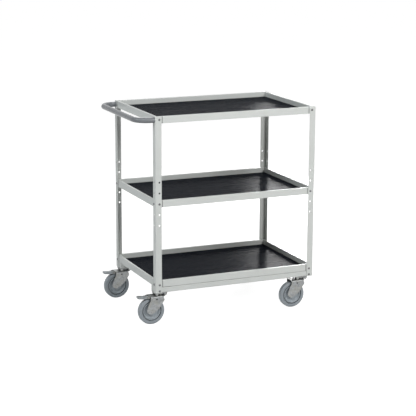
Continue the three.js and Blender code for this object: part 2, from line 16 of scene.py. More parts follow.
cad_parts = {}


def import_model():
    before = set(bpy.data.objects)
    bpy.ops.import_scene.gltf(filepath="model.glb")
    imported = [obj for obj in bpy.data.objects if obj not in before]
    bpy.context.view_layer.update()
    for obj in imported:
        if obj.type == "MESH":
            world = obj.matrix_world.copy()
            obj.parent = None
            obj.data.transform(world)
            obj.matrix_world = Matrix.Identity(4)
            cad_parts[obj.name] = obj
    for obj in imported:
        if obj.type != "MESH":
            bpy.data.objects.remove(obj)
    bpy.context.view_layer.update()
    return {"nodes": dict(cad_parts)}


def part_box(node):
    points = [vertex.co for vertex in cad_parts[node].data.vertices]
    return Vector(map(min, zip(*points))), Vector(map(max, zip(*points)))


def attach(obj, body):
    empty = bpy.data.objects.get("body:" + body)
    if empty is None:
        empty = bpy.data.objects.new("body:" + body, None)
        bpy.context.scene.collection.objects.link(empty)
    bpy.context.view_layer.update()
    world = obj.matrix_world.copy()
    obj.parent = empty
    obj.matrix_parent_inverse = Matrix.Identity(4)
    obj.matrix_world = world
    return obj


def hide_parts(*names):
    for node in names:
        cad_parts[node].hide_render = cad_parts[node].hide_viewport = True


log = logging.getLogger("tool_cart")

MM = 0.001
FULL_TURN = 2 * math.pi
WHITE = (1.0, 1.0, 1.0, 1.0)
Color = tuple[float, float, float]
Profile = list[tuple[float, float]]


# ---------------------------------------------------------------------- shaders


@dataclass(frozen=True)
class Socket:
    """A node's output, which takes part in Python arithmetic by adding Math nodes."""

    graph: "Graph"
    output: bpy.types.NodeSocket

    def _math(self, operation: str, first: "Socket | float", second: "Socket | float") -> "Socket":
        """Adds a Math node on two values.

        Args:
            operation: The Math node's operation.
            first: Its first operand.
            second: Its second operand.

        Returns:
            The result.
        """
        return self.graph.node("ShaderNodeMath", {"operation": operation}, {0: first, 1: second})

    def __add__(self, other: "Socket | float") -> "Socket":
        """The sum with another value."""
        return self._math("ADD", self, other)

    def __sub__(self, other: "Socket | float") -> "Socket":
        """The difference from another value."""
        return self._math("SUBTRACT", self, other)

    def __rsub__(self, other: float) -> "Socket":
        """A number less this value."""
        return self._math("SUBTRACT", other, self)

    def __mul__(self, other: "Socket | float") -> "Socket":
        """The product with another value."""
        return self._math("MULTIPLY", self, other)

    __radd__ = __add__
    __rmul__ = __mul__

    def size(self) -> "Socket":
        """The value without its sign."""
        return self._math("ABSOLUTE", self, 0.0)

    def above(self, edge: float, softness: float) -> "Socket":
        """A mask that rises from 0 to 1 around an edge.

        Args:
            edge: The value at the middle of the rise.
            softness: Half the width of the rise.

        Returns:
            The mask, from 0 to 1.
        """
        settings = {"interpolation_type": "SMOOTHSTEP"}
        inputs = {"Value": self, "From Min": edge - softness, "From Max": edge + softness}
        return self.graph.node("ShaderNodeMapRange", settings, inputs)


class Graph:
    """The node tree of a material or a world, with one way to make a node."""

    crevice_rays = 8
    edge_rays = 4

    def __init__(self, tree: bpy.types.NodeTree) -> None:
        """Empties a tree.

        Args:
            tree: The node tree to build in.
        """
        self.tree = tree
        tree.nodes.clear()

    def node(self, kind: str, settings: dict | None = None, inputs: dict | None = None,
             output: int | str = 0) -> Socket:
        """Makes a node.

        Args:
            kind: The node's type.
            settings: Its properties, set first.
            inputs: Values or links of its sockets, by name or number.
            output: The socket to hand back.

        Returns:
            The chosen output, wrapped.
        """
        made = self.tree.nodes.new(kind)
        for name, value in (settings or {}).items():
            setattr(made, name, value)
        for key, value in (inputs or {}).items():
            if isinstance(value, Socket):
                self.tree.links.new(value.output, made.inputs[key])
            else:
                made.inputs[key].default_value = value
        return Socket(self, made.outputs[output] if made.outputs else None)

    def place(self) -> Socket:
        """The point's own place on the object, in metres."""
        return self.node("ShaderNodeTexCoord", output="Object")

    def axis(self, name: str) -> Socket:
        """One coordinate of the point's own place, by its letter."""
        return self.node("ShaderNodeSeparateXYZ", {}, {"Vector": self.place()}, output=name)

    def stretched(self, factors: tuple[float, float, float]) -> Socket:
        """The point's place with each axis scaled.

        Args:
            factors: The factor on each axis.

        Returns:
            The scaled place.
        """
        inputs = {"Vector": self.place(), "Scale": factors}
        return self.node("ShaderNodeMapping", {"vector_type": "POINT"}, inputs)

    def noise(self, size: float, detail: float = 2.0, place: Socket | None = None) -> Socket:
        """Smooth noise.

        Args:
            size: The size of its features, in metres.
            detail: How many finer octaves it holds.
            place: Where to read it, or None for the point's own place.

        Returns:
            The noise, around 0.5.
        """
        inputs = {"Vector": place or self.place(), "Scale": 1.0 / size, "Detail": detail}
        return self.node("ShaderNodeTexNoise", {"noise_dimensions": "3D"}, inputs)

    def blend(self, mask: Socket | float, first: Socket | Color, second: Socket | Color) -> Socket:
        """Mixes two colours.

        Args:
            mask: 0 for the first colour and 1 for the second.
            first: The first colour.
            second: The second colour.

        Returns:
            The mixed colour.
        """
        pair = [c if isinstance(c, Socket) else (*c, 1.0) for c in (first, second)]
        settings = {"data_type": "RGBA", "blend_type": "MIX"}
        return self.node("ShaderNodeMix", settings, {0: mask, 6: pair[0], 7: pair[1]}, output=2)

    def crevices(self, reach: float) -> Socket:
        """How much of the view of a point is closed off by what lies close to it.

        Args:
            reach: How far to look, in metres.

        Returns:
            0 on open faces, rising to 1 deep in a gap.
        """
        settings = {"samples": self.crevice_rays}
        return 1.0 - self.node("ShaderNodeAmbientOcclusion", settings, {"Distance": reach}, output="AO")

    def rounded(self, radius: float) -> Socket:
        """The surface's normal, with edges rounded over by a radius in metres."""
        return self.node("ShaderNodeBevel", {"samples": self.edge_rays}, {"Radius": radius})

    def bump(self, height: Socket, depth: float, normal: Socket | None = None) -> Socket:
        """Turns a height from 0 to 1 into a bumped normal.

        Args:
            height: The height.
            depth: The height's full range, in metres.
            normal: The normal to bump, or None for the surface's own.

        Returns:
            The bumped normal.
        """
        inputs = {"Height": height, "Distance": depth, "Strength": 1.0}
        if normal:
            inputs["Normal"] = normal
        return self.node("ShaderNodeBump", {}, inputs)


# --------------------------------------------------------------------- finishes


@dataclass(frozen=True)
class Finish:
    """What a surface is finished with. Each kind fills in its own shader sockets.

    The name differs from the record's slot, because the frame comes with a plain material of the
    slot's name for each slot.

    Attributes:
        name: The material's name.
        slot: The slot in the record that it stands for; nothing in this script reads it.
        color: The base colour of clean open faces.
        roughness: The roughness that the wear varies.
        polish: How far below that roughness the most polished places lie.
        wear: How much rougher the dullest places are than the most polished ones.
        dirt: How much of the colour the painted shade in gaps and inside corners hides at most.
        shade_reach: How wide a gap still gets painted shade.
        shade_from: How closed off a place is where it is half shaded, from 0 to 1.
        shade_blur: Half the width of the change from open to shaded, on the same scale.
        shade_tone: The painted shade's colour as a share of the base colour.
    """

    name: str
    slot: str
    color: Color
    roughness: float
    polish: float = 0.04
    wear: float = 0.1
    dirt: float = 0.6
    shade_reach: float = 12 * MM
    shade_from: float = 0.6
    shade_blur: float = 0.35
    shade_tone: float = 0.05

    def sockets(self, graph: Graph) -> dict:
        """The shader's sockets that this finish sets.

        Args:
            graph: The graph to build in.

        Returns:
            Values or links by socket name.
        """
        raise NotImplementedError

    def material(self) -> bpy.types.Material:
        """Makes the material, once, and hands back the same one from then on.

        Returns:
            The material.
        """
        known = bpy.data.materials.get(self.name)
        if known:
            return known
        made = bpy.data.materials.new(self.name)
        made.use_nodes = True
        graph = Graph(made.node_tree)
        surface = graph.node("ShaderNodeBsdfPrincipled", {}, self.sockets(graph))
        graph.node("ShaderNodeOutputMaterial", {}, {"Surface": surface})
        return made

    def shaded_in_crevices(self, graph: Graph, clean: Socket) -> Socket:
        """A colour with painted shade: darker in gaps and inside corners, where nearby surfaces close off the
        light.

        Args:
            graph: The graph to build in.
            clean: The colour of open faces.

        Returns:
            The darkened colour.
        """
        # Painted shade: the colour darkens where nearby surfaces close off the view, as shade would fall
        # there.
        dirt = graph.crevices(self.shade_reach).above(self.shade_from, self.shade_blur)
        return graph.blend(self.dirt * dirt, clean, self.toned(self.shade_tone))

    def toned(self, share: float) -> Color:
        """The base colour, scaled."""
        return tuple(share * c for c in self.color)

    def worn(self, mask: Socket) -> Socket:
        """The roughness, from the most polished places, where a mask is 0, to the dullest, where it is 1."""
        return self.roughness - self.polish + self.wear * mask

    def shades(self, graph: Graph, mask: Socket, spread: float) -> Socket:
        """The base colour, varied a little darker and lighter.

        Args:
            graph: The graph to build in.
            mask: 0 where it is darkest and 1 where it is lightest.
            spread: How far each way, as a share of the colour.

        Returns:
            The varied colour.
        """
        return graph.blend(mask, self.toned(1 - spread), self.toned(1 + spread))


@dataclass(frozen=True)
class PowderCoat(Finish):
    """Powder coat on sheet steel, with fine orange peel and rounded-over edges."""

    gloss: float = 0.2
    peel_size: float = 1.6 * MM
    peel_depth: float = 0.012 * MM
    edge_radius: float = 0.5 * MM
    wear_size: float = 30 * MM
    cloud_size: float = 160 * MM
    cloud_spread: float = 0.02
    speck_size: float = 5 * MM
    speck_share: float = 0.25
    speck_tone: float = 0.8

    def sockets(self, graph: Graph) -> dict:
        """The coat's sockets.

        Args:
            graph: The graph to build in.

        Returns:
            Values or links by socket name.
        """
        peel = graph.noise(self.peel_size, detail=1.0)
        return {
            "Base Color": self.shaded_in_crevices(graph, self.coat(graph)),
            "Roughness": self.worn(graph.noise(self.wear_size)),
            "Normal": graph.bump(peel, self.peel_depth, graph.rounded(self.edge_radius)),
            "Specular IOR Level": self.gloss,
        }

    def coat(self, graph: Graph) -> Socket:
        """The coat's colour: a slow cloudiness, with a few dusty specks.

        Args:
            graph: The graph to build in.

        Returns:
            The colour.
        """
        cloud = graph.noise(self.cloud_size, detail=3.0).above(edge=0.5, softness=0.25)
        speck = graph.noise(self.speck_size, detail=4.0).above(edge=0.66, softness=0.05)
        tone = self.shades(graph, cloud, self.cloud_spread)
        return graph.blend(self.speck_share * speck, tone, self.toned(self.speck_tone))


@dataclass(frozen=True)
class SeamShadedCoat(PowderCoat):
    """The trays' powder coat, with painted shade in the seams along the edges of the uprights.

    The seams lie on the trays' outer walls alone, which are the faces within the wall's depth of
    the uprights' outer faces. A gap is how far a seam's middle lies past the edge of an upright.
    """

    side_seam_gap: float = 4.5 * MM
    end_seam_gap: float = 5.0 * MM
    seam_half: float = 1.6 * MM
    seam_blur: float = 0.6 * MM
    seam_darkness: float = 0.8
    seam_tone: float = 0.08
    wall_depth: float = 4.0 * MM
    wall_blur: float = 0.3 * MM

    def coat(self, graph: Graph) -> Socket:
        """The coat's colour, with painted shade along the seams.

        Args:
            graph: The graph to build in.

        Returns:
            The colour.
        """
        low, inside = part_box("upright_front_handle_end")
        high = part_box("upright_rear_far_end")[1]
        leg = inside.x - low.x
        middle, half = (low + high) / 2, (high - low) / 2
        along = (graph.axis("X") - middle.x).size()
        across = (graph.axis("Y") - middle.y).size()
        on_sides = self._line(along, half.x - leg - self.side_seam_gap)
        on_sides = on_sides * across.above(half.y - self.wall_depth, self.wall_blur)
        on_ends = self._line(across, half.y - leg - self.end_seam_gap)
        on_ends = on_ends * along.above(half.x - self.wall_depth, self.wall_blur)
        # Painted shade along the seams, where the uprights' edges meet the trays' walls.
        seam_shade = self.seam_darkness * (on_sides + on_ends)
        return graph.blend(seam_shade, super().coat(graph), self.toned(self.seam_tone))

    def _line(self, value: Socket, place: float) -> Socket:
        """A mask that is 1 within half a seam's width of a place."""
        return 1.0 - (value - place).size().above(self.seam_half, self.seam_blur)


@dataclass(frozen=True)
class ZincPlate(Finish):
    """Zinc plate on pressed steel: cloudy, with fine scuffs that run down it."""

    polish: float = 0.09
    wear: float = 0.16
    metallic: float = 0.75
    edge_radius: float = 0.6 * MM
    cloud_size: float = 9 * MM
    cloud_share: float = 0.6
    cloud_spread: float = 0.2
    scuff_size: float = 1.4 * MM
    scuff_squeeze: float = 0.12
    scuff_depth: float = 0.02 * MM
    scuff_wear: float = 0.08
    tint: Color = (1.0, 0.95, 0.82)
    tint_size: float = 26 * MM
    tint_share: float = 0.45

    def sockets(self, graph: Graph) -> dict:
        """The plating's sockets.

        Args:
            graph: The graph to build in.

        Returns:
            Values or links by socket name.
        """
        cloud = graph.noise(self.cloud_size, detail=3.0)
        scuffs = graph.noise(self.scuff_size, place=graph.stretched((1.0, 1.0, self.scuff_squeeze)))
        marks = (self.cloud_share * cloud + (1 - self.cloud_share) * scuffs).above(edge=0.5, softness=0.14)
        tone = self.shades(graph, marks, self.cloud_spread)
        warm = tuple(c * share for c, share in zip(self.color, self.tint))
        tinted = graph.noise(self.tint_size).above(edge=0.52, softness=0.1)
        return {
            "Base Color": self.shaded_in_crevices(graph, graph.blend(self.tint_share * tinted, tone, warm)),
            "Metallic": self.metallic,
            "Roughness": self.worn(cloud) + self.scuff_wear * scuffs,
            "Normal": graph.bump(scuffs, self.scuff_depth, graph.rounded(self.edge_radius)),
        }


@dataclass(frozen=True)
class Rubber(Finish):
    """Rubber with a fine grain, a film of dust and slight patches of wear."""

    polish: float = 0.05
    gloss: float = 0.4
    grain_size: float = 0.9 * MM
    grain_depth: float = 0.03 * MM
    cloud_size: float = 8 * MM
    cloud_spread: float = 0.1
    patch_size: float = 35 * MM
    dust: Color = (0.2, 0.2, 0.19)
    dust_share: float = 0.05

    def sockets(self, graph: Graph) -> dict:
        """The rubber's sockets.

        Args:
            graph: The graph to build in.

        Returns:
            Values or links by socket name.
        """
        grain = graph.noise(self.grain_size)
        patches = self.patches(graph)
        tone = self.shades(graph, graph.noise(self.cloud_size), self.cloud_spread)
        return {
            "Base Color": self.shaded_in_crevices(graph, graph.blend(self.dust_share * patches, tone, self.dust)),
            "Roughness": self.worn(patches),
            "Normal": graph.bump(grain, self.grain_depth),
            "Specular IOR Level": self.gloss,
        }

    def patches(self, graph: Graph) -> Socket:
        """Where dust and wear lie, from 0 to 1."""
        return graph.noise(self.patch_size, detail=3.0).above(edge=0.55, softness=0.15)


@dataclass(frozen=True)
class RibbedRubber(Rubber):
    """The mats' rubber, on which things slid along the ribs have left long faint streaks."""

    patch_size: float = 16 * MM
    streak_squeeze: float = 0.07

    def patches(self, graph: Graph) -> Socket:
        """Where dust and wear lie, from 0 to 1: streaks along X, a few rib widths across."""
        place = graph.stretched((self.streak_squeeze, 1.0, 1.0))
        return graph.noise(self.patch_size, detail=3.0, place=place).above(edge=0.5, softness=0.16)


@dataclass(frozen=True)
class MouldedPlastic(Finish):
    """Moulded plastic with a faint grain and a slow change of tone."""

    polish: float = 0.03
    wear: float = 0.06
    wear_size: float = 6 * MM
    grain_size: float = 0.7 * MM
    grain_depth: float = 0.012 * MM
    cloud_size: float = 18 * MM
    cloud_spread: float = 0.06

    def sockets(self, graph: Graph) -> dict:
        """The plastic's sockets.

        Args:
            graph: The graph to build in.

        Returns:
            Values or links by socket name.
        """
        grain = graph.noise(self.grain_size, detail=1.0)
        tone = self.shades(graph, graph.noise(self.cloud_size), self.cloud_spread)
        return {
            "Base Color": self.shaded_in_crevices(graph, tone),
            "Roughness": self.worn(graph.noise(self.wear_size)),
            "Normal": graph.bump(grain, self.grain_depth),
        }


LIGHT_GREY = (0.655, 0.672, 0.648)
FRAME_PAINT = PowderCoat("light_grey_coat", "frame_paint", LIGHT_GREY, 0.34)
TRAY_PAINT = SeamShadedCoat("light_grey_tray_coat", "frame_paint", LIGHT_GREY, 0.34)
HANDLE_PAINT = PowderCoat("mid_grey_coat", "handle_paint", (0.168, 0.177, 0.189), 0.28, gloss=0.5)
MAT_RUBBER = RibbedRubber("black_mat_rubber", "mat_rubber", (0.005, 0.0065, 0.011), 0.3, gloss=0.007,
                          dust=(0.05, 0.055, 0.06), dust_share=0.12)
# The zinc, hub and tyre finishes paint stronger, wider shade into their crevices.
PLATED_STEEL = ZincPlate("zinc_plate", "plated_steel", (0.3, 0.31, 0.315), 0.4, dirt=0.9, shade_reach=20 * MM)
SCREW_STEEL = ZincPlate("dull_zinc_screws", "plated_steel", (0.2, 0.205, 0.215), 0.3)
PEDAL_STEEL = ZincPlate("blue_zinc_plate", "pedal_steel", (0.235, 0.255, 0.27), 0.42)
HUB_PLASTIC = MouldedPlastic("grey_hub_plastic", "hub_plastic", (0.33, 0.365, 0.39), 0.38, dirt=0.9)
TYRE_RUBBER = Rubber("grey_tyre_rubber", "tyre_rubber", (0.28, 0.31, 0.335), 0.45, dirt=0.9,
                     shade_reach=22 * MM, dust=(0.36, 0.37, 0.37), dust_share=0.3)
SHOE_RUBBER = Rubber("dark_shoe_rubber", "shoe_rubber", (0.02, 0.02, 0.022), 0.6)


# ----------------------------------------------------------------------- shapes


class Shape:
    """A bmesh on its way to becoming a piece."""

    def __init__(self) -> None:
        """Starts an empty shape."""
        self.mesh = bmesh.new()

    @classmethod
    def turned(cls, profile: Profile, steps: int, closed: bool = False) -> "Shape":
        """A body of revolution about +Y.

        Args:
            profile: (radius, distance along Y) pairs. An open one starts on the axis, and leaves a
                round opening where it ends off it.
            steps: Facets in the full turn.
            closed: True where the profile's end joins its start.

        Returns:
            The body.
        """
        shape = cls()
        verts = [shape.mesh.verts.new((radius, along, 0.0)) for radius, along in profile]
        pairs = list(zip(verts, verts[1:])) + ([(verts[-1], verts[0])] if closed else [])
        edges = [shape.mesh.edges.new(pair) for pair in pairs]
        bmesh.ops.spin(shape.mesh, geom=verts + edges, cent=(0, 0, 0), axis=(0, 1, 0), dvec=(0, 0, 0),
                       angle=FULL_TURN, steps=steps, use_merge=True, use_duplicate=False)
        return shape.tidied()

    def tidied(self) -> "Shape":
        """Closes its seams and poles, and turns its faces outwards.

        Returns:
            This shape.
        """
        bmesh.ops.remove_doubles(self.mesh, verts=self.mesh.verts, dist=1e-7)
        bmesh.ops.recalc_face_normals(self.mesh, faces=self.mesh.faces)
        return self

    def moved(self, matrix: Matrix) -> "Shape":
        """Applies a transform to the whole shape, and hands it back."""
        bmesh.ops.transform(self.mesh, matrix=matrix, verts=self.mesh.verts)
        return self

    def copied(self, matrices: list[Matrix]) -> "Shape":
        """One shape with a copy of this one at each transform.

        Args:
            matrices: The transforms.

        Returns:
            The copies, as one new shape. This one is freed.
        """
        whole = Shape()
        single = bpy.data.meshes.new("single")
        self.mesh.to_mesh(single)
        self.mesh.free()
        for matrix in matrices:
            known = set(whole.mesh.verts)
            whole.mesh.from_mesh(single)
            fresh = [vert for vert in whole.mesh.verts if vert not in known]
            bmesh.ops.transform(whole.mesh, matrix=matrix, verts=fresh)
        bpy.data.meshes.remove(single)
        return whole

    def piece(self, name: str, finish: Finish, body: str, replaces: tuple[str, ...] = (),
              crease: float = 32.0) -> bpy.types.Object:
        """Turns the shape into a piece that rides on a body.

        Args:
            name: The piece's name.
            finish: What it is finished with.
            body: The CAD body that it rides on.
            replaces: The CAD nodes that it stands for.
            crease: Edges that turn further than this many degrees stay crisp.

        Returns:
            The piece's object.
        """
        for edge in self.mesh.edges:
            edge.smooth = len(edge.link_faces) == 2 and edge.calc_face_angle(0.0) < math.radians(crease)
        for face in self.mesh.faces:
            face.smooth = True
        data = bpy.data.meshes.new(name)
        self.mesh.to_mesh(data)
        self.mesh.free()
        data.materials.append(finish.material())
        made = bpy.data.objects.new(name, data)
        bpy.context.scene.collection.objects.link(made)
        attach(made, body)
        if replaces:
            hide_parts(*replaces)
        log.info("%s: %d faces, on %s", name, len(data.polygons), body)
        return made


def dress(node: bpy.types.Object, finish: Finish) -> None:
    """Gives a CAD node its finish.

    Args:
        node: The node's object.
        finish: The finish.
    """
    if not node.material_slots:
        node.data.materials.append(None)
    node.material_slots[0].material = finish.material()
    log.info("%s: dressed in %s", node.name, finish.name)


def edges_at(verts: list[bmesh.types.BMVert]) -> list[bmesh.types.BMEdge]:
    """The edges that meet at some vertices, each once and in a fixed order."""
    return list(dict.fromkeys(edge for vert in verts for edge in vert.link_edges))


def arc(centre: tuple[float, float], radius: float, start: float, end: float, steps: int) -> Profile:
    """Points of an arc in a profile.

    Args:
        centre: The arc's centre.
        radius: Its radius.
        start: The first point's angle, in degrees.
        end: The last point's angle, in degrees.
        steps: How many chords it has.

    Returns:
        The points, from start to end.
    """
    turn = [math.radians(start + (end - start) * k / steps) for k in range(steps + 1)]
    return [(centre[0] + radius * math.cos(a), centre[1] + radius * math.sin(a)) for a in turn]


def in_mm(*points: tuple[float, float]) -> Profile:
    """A profile from points in millimetres."""
    return [(radius * MM, along * MM) for radius, along in points]


def both_sides(half: Profile) -> Profile:
    """A profile with its mirror image across the plane along = 0, in the order of a closed loop."""
    return half + [(radius, -along) for radius, along in reversed(half)]


# ------------------------------------------------------------------ the cart's parts


class Level(Enum):
    """The cart's trays, with how far their screws lie below the top of the rim."""

    TOP = ("top", 14.5 * MM)
    MIDDLE = ("middle", 16.5 * MM)
    BOTTOM = ("bottom", 21.0 * MM)

    @property
    def place(self) -> str:
        """The level's name in the frame's node names."""
        return self.value[0]

    @property
    def screw_drop(self) -> float:
        """How far the tray's screws lie below the top of its rim."""
        return self.value[1]


class Corner(Enum):
    """The cart's corners, with the signs of their places in X and Y."""

    FRONT_HANDLE_END = ("front_handle_end", -1, -1)
    FRONT_FAR_END = ("front_far_end", 1, -1)
    REAR_FAR_END = ("rear_far_end", 1, 1)
    REAR_HANDLE_END = ("rear_handle_end", -1, 1)

    @property
    def place(self) -> str:
        """The corner's name in the frame's node names."""
        return self.value[0]

    @property
    def signs(self) -> tuple[int, int]:
        """The signs of the corner's X and Y."""
        return self.value[1:]

    @property
    def braked(self) -> bool:
        """Whether this corner's castor has a brake."""
        return self.signs[0] < 0


@dataclass
class Frame:
    """The uprights, trays and base rails, and the screws that hold them together."""

    nodes: dict[str, bpy.types.Object]
    screw_inset: float = 19.3 * MM
    rail_screw_drop: float = 50.0 * MM
    head_radius: float = 5.25 * MM
    head_height: float = 3.0 * MM
    head_brim: float = 0.7 * MM
    head_steps: int = 24
    dome_degrees: tuple[int, ...] = (0, 12, 24, 36, 48)
    socket_radius: float = 2.3 * MM
    socket_depth: float = 1.8 * MM
    socket_rim: float = 0.6 * MM

    def build(self) -> None:
        """Dresses the sheet metal and adds its screws."""
        for level in Level:
            dress(self.nodes[f"tray_{level.place}"], TRAY_PAINT)
        for side in ("front", "rear"):
            dress(self.nodes[f"base_rail_{side}"], FRAME_PAINT)
        for corner in Corner:
            dress(self.nodes[f"upright_{corner.place}"], FRAME_PAINT)
            self._screws(corner)

    def _screw_head(self) -> Shape:
        """Makes the head of a button-head screw.

        Returns:
            The head, with a hexagon socket, its seat on the plane Y = 0 and its crown towards -Y.
        """
        rise, reach, brim = self.head_height, self.head_radius, self.head_brim
        dome = [
            (reach * math.cos(angle), -brim - (rise - brim) * math.sin(angle))
            for angle in map(math.radians, self.dome_degrees)
        ]
        profile = [(0.0, 0.0), (reach, 0.0), *dome, (self.socket_radius + self.socket_rim, -rise)]
        shape = Shape.turned(profile, self.head_steps)
        opening = [edge for edge in shape.mesh.edges if edge.is_boundary]
        hexagon = bmesh.ops.create_circle(shape.mesh, segments=6, radius=self.socket_radius)["verts"]
        turn = Matrix.Translation((0, -rise, 0)) @ Matrix.Rotation(math.pi / 2, 4, "X")
        bmesh.ops.transform(shape.mesh, matrix=turn, verts=hexagon)
        lip = edges_at(hexagon)
        bmesh.ops.bridge_loops(shape.mesh, edges=opening + lip)
        walls = bmesh.ops.extrude_edge_only(shape.mesh, edges=lip)["geom"]
        deep = [item for item in walls if isinstance(item, bmesh.types.BMVert)]
        bmesh.ops.translate(shape.mesh, verts=deep, vec=(0, self.socket_depth, 0))
        bmesh.ops.contextual_create(shape.mesh, geom=deep)
        return shape.tidied()

    def _screws(self, corner: Corner) -> None:
        """Adds a corner's screws, through both of its legs at each tray and through the base rail.

        Args:
            corner: The corner.
        """
        low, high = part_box(f"upright_{corner.place}")
        sign_x, sign_y = corner.signs
        face_x = low.x if sign_x < 0 else high.x
        face_y = low.y if sign_y < 0 else high.y
        screw_x = face_x - sign_x * self.screw_inset
        screw_y = face_y - sign_y * self.screw_inset
        on_y_face = Matrix.Rotation(0.0 if sign_y < 0 else math.pi, 4, "Z")
        on_x_face = Matrix.Rotation(-math.pi / 2 if sign_x < 0 else math.pi / 2, 4, "Z")
        places = []
        for level in Level:
            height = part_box(f"tray_{level.place}")[1].z - level.screw_drop
            places.append(Matrix.Translation((screw_x, face_y, height)) @ on_y_face)
            places.append(Matrix.Translation((face_x, screw_y, height)) @ on_x_face)
        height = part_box("tray_bottom")[1].z - self.rail_screw_drop
        places.append(Matrix.Translation((screw_x, face_y, height)) @ on_y_face)
        self._screw_head().copied(places).piece(f"screws_{corner.place}", SCREW_STEEL, "frame")


@dataclass
class RibbedMat:
    """A rubber mat with fine ribs along the cart, in place of a CAD mat.

    The rib's start, flank and end are shares of its pitch.
    """

    level: Level
    rib_pitch: float = 3.2 * MM
    rib_height: float = 0.6 * MM
    rib_start: float = 0.22
    rib_end: float = 0.92
    flank: float = 0.12

    def build(self) -> None:
        """Builds the mat: one rib's profile drawn out along X, repeated across the mat, then closed below."""
        node = f"mat_{self.level.place}"
        low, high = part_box(node)
        count = round((high.y - low.y) / self.rib_pitch)
        pitch = (high.y - low.y) / count
        valley = high.z - self.rib_height
        rib = [
            (self.rib_start, valley),
            (self.rib_start + self.flank, high.z),
            (self.rib_end - self.flank, high.z),
            (self.rib_end, valley),
        ]
        profile = [(0.0, valley), *rib, (1.0, valley)]
        shape = Shape()
        mesh = shape.mesh
        verts = [mesh.verts.new((low.x, low.y + share * pitch, z)) for share, z in profile]
        edges = [mesh.edges.new(pair) for pair in zip(verts, verts[1:])]
        drawn = bmesh.ops.extrude_edge_only(mesh, edges=edges)["geom"]
        ends = [item for item in drawn if isinstance(item, bmesh.types.BMVert)]
        bmesh.ops.translate(mesh, verts=ends, vec=(high.x - low.x, 0, 0))
        strip = [*mesh.verts, *mesh.edges, *mesh.faces]
        bmesh.ops.spin(mesh, geom=strip, cent=(0, 0, 0), axis=(1, 0, 0), dvec=(0, pitch, 0),
                       angle=0.0, steps=count - 1, use_merge=False, use_duplicate=True)
        bmesh.ops.remove_doubles(mesh, verts=mesh.verts, dist=1e-6)
        border = [edge for edge in mesh.edges if edge.is_boundary]
        walls = bmesh.ops.extrude_edge_only(mesh, edges=border)["geom"]
        lower = [item for item in walls if isinstance(item, bmesh.types.BMVert)]
        for vert in lower:
            vert.co.z = low.z
        bmesh.ops.holes_fill(mesh, edges=[edge for edge in mesh.edges if edge.is_boundary], sides=0)
        shape.tidied().piece(f"ribbed_mat_{self.level.place}", MAT_RUBBER, "frame", (node,), crease=20.0)


@dataclass
class PushHandle:
    """The bent tube that the cart is pushed by, in place of the CAD tube."""

    tube_diameter: float = 25 * MM
    bend_radius: float = 62 * MM
    round_steps: int = 32
    bend_steps: int = 20

    def build(self) -> None:
        """Draws the tube's end circle along its route: straight, bend, straight, bend, straight."""
        low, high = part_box("push_handle")
        radius = self.tube_diameter / 2
        height = (low.z + high.z) / 2
        near, far = low.y + radius, high.y - radius
        bend_x = low.x + radius + self.bend_radius
        shape = Shape()
        mesh = shape.mesh
        ring = bmesh.ops.create_circle(mesh, cap_ends=True, segments=self.round_steps, radius=radius)["verts"]
        stand = Matrix.Translation((high.x, near, height)) @ Matrix.Rotation(math.pi / 2, 4, "Y")
        bmesh.ops.transform(mesh, matrix=stand, verts=ring)
        tip = self._straight(mesh, edges_at(ring), Vector((bend_x - high.x, 0, 0)))
        tip = self._bend(mesh, tip, Vector((bend_x, near + self.bend_radius, height)))
        tip = self._straight(mesh, tip, Vector((0, far - near - 2 * self.bend_radius, 0)))
        tip = self._bend(mesh, tip, Vector((bend_x, far - self.bend_radius, height)))
        tip = self._straight(mesh, tip, Vector((high.x - bend_x, 0, 0)))
        bmesh.ops.contextual_create(mesh, geom=tip)
        shape.tidied().piece("handle_tube", HANDLE_PAINT, "frame", ("push_handle",))

    @staticmethod
    def _straight(mesh: bmesh.types.BMesh, tip: list, run: Vector) -> list:
        """Draws the open end out in a straight line.

        Args:
            mesh: The mesh.
            tip: The edges of the open end.
            run: How far and which way.

        Returns:
            The edges of the new open end.
        """
        drawn = bmesh.ops.extrude_edge_only(mesh, edges=tip)["geom"]
        verts = [item for item in drawn if isinstance(item, bmesh.types.BMVert)]
        bmesh.ops.translate(mesh, verts=verts, vec=run)
        return [item for item in drawn if isinstance(item, bmesh.types.BMEdge)
                and all(vert in verts for vert in item.verts)]

    def _bend(self, mesh: bmesh.types.BMesh, tip: list, centre: Vector) -> list:
        """Draws the open end round a quarter bend.

        Args:
            mesh: The mesh.
            tip: The edges of the open end.
            centre: The bend's centre.

        Returns:
            The edges of the new open end.
        """
        verts = list(dict.fromkeys(vert for edge in tip for vert in edge.verts))
        spun = bmesh.ops.spin(mesh, geom=verts + tip, cent=centre, axis=(0, 0, 1), dvec=(0, 0, 0),
                              angle=-math.pi / 2, steps=self.bend_steps, use_duplicate=False)
        return [item for item in spun["geom_last"] if isinstance(item, bmesh.types.BMEdge)]


